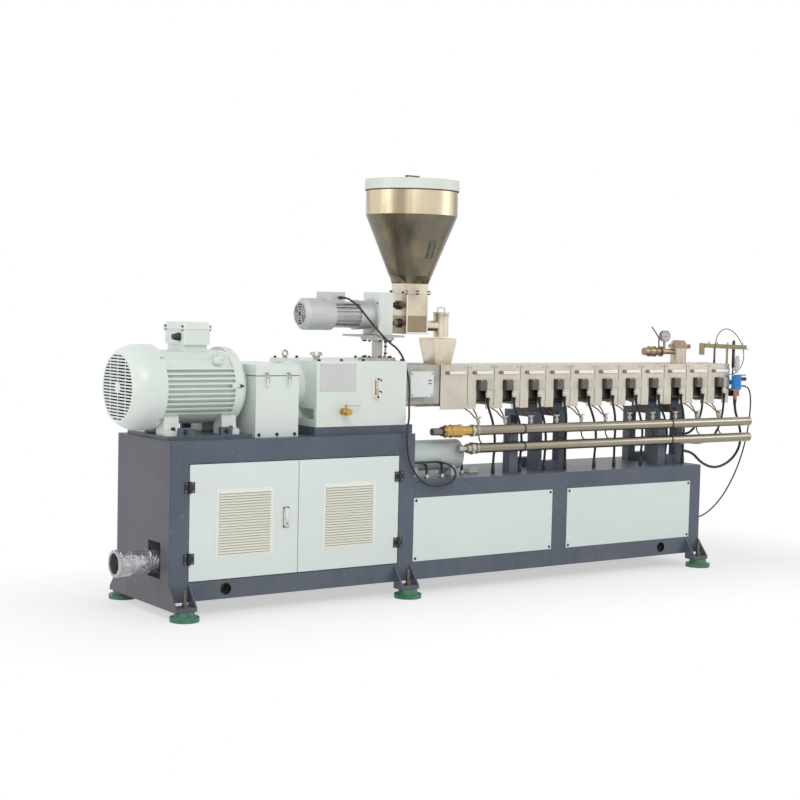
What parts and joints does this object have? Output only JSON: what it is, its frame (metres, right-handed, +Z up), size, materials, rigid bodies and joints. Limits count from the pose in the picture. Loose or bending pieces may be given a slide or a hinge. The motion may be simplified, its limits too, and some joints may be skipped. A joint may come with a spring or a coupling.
{
  "type": "twin-screw plastic extruder",
  "caption": "Twin-screw plastic compounding extruder on a steel base, with drive motor, gearbox, hopper feeder, heated barrel, vacuum vent and water pipes.",
  "frame": {"origin": "on the floor, under the middle of the machine's box, cables left out", "axes": "+X along the machine from the drive motor to the die, +Y from the door side to the back, +Z up"},
  "size_m": [4.9233, 0.9216, 2.4833],
  "materials": {
    "frame_paint": "slate blue-grey enamel, satin",
    "end_plate_paint": "grey enamel, satin",
    "panel_paint": "pale grey-green powder coat",
    "vent_cream": "cream enamel",
    "machine_paint": "pale grey-green enamel",
    "stainless": "brushed stainless steel",
    "cast_steel": "machined steel, oiled",
    "black_fittings": "black zinc",
    "bolt_steel": "zinc plated",
    "green_mount": "green enamel",
    "foil": "crinkled foil wrap",
    "brass": "bare brass",
    "motor_aluminium": "silver painted aluminium",
    "plug_taupe": "moulded",
    "lid_white": "white enamel",
    "olive_steel": "yellow passivated steel",
    "valve_blue": "moulded",
    "cooler_paint": "pale blue-grey enamel",
    "cable_black": "black sheath"
  },
  "bodies": {
    "base": {"adapter_guard": "panel_paint", "adapter_lantern": "cast_steel", "barrel_core": "cast_steel", "barrel_covers": "stainless", "cable_glands": "black_fittings", "coupling_guard": "machine_paint", "deck_plates": "frame_paint", "deck_supports": "frame_paint", "die_head": "cast_steel", "die_hose": "cable_black", "die_valve": "valve_blue", "discharge_tube": "stainless", "drain_rails": "frame_paint", "drain_valve": "brass", "drive_bases": "frame_paint", "drive_fittings": "bolt_steel", "duct_stub": "foil", "end_plate": "end_plate_paint", "feed_funnel": "stainless", "feeder_cable": "cable_black", "feeder_column": "bolt_steel", "feeder_motor": "motor_aluminium", "feeder_reducer": "machine_paint", "feeder_trough": "stainless", "fixed_panels": "panel_paint", "foot_brackets": "frame_paint", "frame_back": "frame_paint", "frame_crossbars": "frame_paint", "frame_front": "frame_paint", "gearbox_housing": "machine_paint", "heater_leads": "cable_black", "heater_plugs": "plug_taupe", "hinge_frame_leaves": "black_fittings", "hopper": "stainless", "inlet_valve": "brass", "junction_boxes": "stainless", "levelling_bolts": "bolt_steel", "motor_body": "machine_paint", "motor_end_shield": "machine_paint", "motor_fan_cowl": "machine_paint", "oil_cooler": "cooler_paint", "pipe_fittings": "bolt_steel", "pipe_straps": "stainless", "sensor_bar": "olive_steel", "sensor_cables": "cable_black", "shaft_coupling": "cast_steel", "terminal_box": "machine_paint", "vacuum_line": "cast_steel", "vent_pot": "stainless", "vibration_mounts": "green_mount", "water_manifolds": "stainless"},
    "door_left": {"door_left": "panel_paint", "door_left_vent": "vent_cream", "door_left_fittings": "black_fittings"},
    "door_right": {"door_right": "panel_paint", "door_right_vent": "vent_cream", "door_right_fittings": "black_fittings"},
    "guard_lid": {"guard_lid": "machine_paint"},
    "hopper_lid": {"hopper_lid": "lid_white"},
    "drain_lever": {"drain_lever": "brass"}
  },
  "joints": [
    {"name": "door_left_hinge", "type": "hinge", "parent": "base", "child": "door_left", "pos_m": [-2.009, -0.3275, 0.511], "axis": [0, 0, -1], "range_deg": [0, 110]},
    {"name": "door_right_hinge", "type": "hinge", "parent": "base", "child": "door_right", "pos_m": [-0.643, -0.3275, 0.511], "axis": [0, 0, 1], "range_deg": [0, 110]},
    {"name": "guard_lid_hinge", "type": "hinge", "parent": "base", "child": "guard_lid", "pos_m": [-1.4275, 0.2473, 1.297], "axis": [-1, 0, 0], "range_deg": [0, 100]},
    {"name": "hopper_lid_lift", "type": "slide", "parent": "base", "child": "hopper_lid", "axis": [0, 0, 1], "range_m": [0, 0.15]},
    {"name": "drain_lever_turn", "type": "hinge", "parent": "base", "child": "drain_lever", "pos_m": [-1.0155, -0.312, 1.121], "axis": [0, 0, -1], "range_deg": [0, 90]}
  ]
}
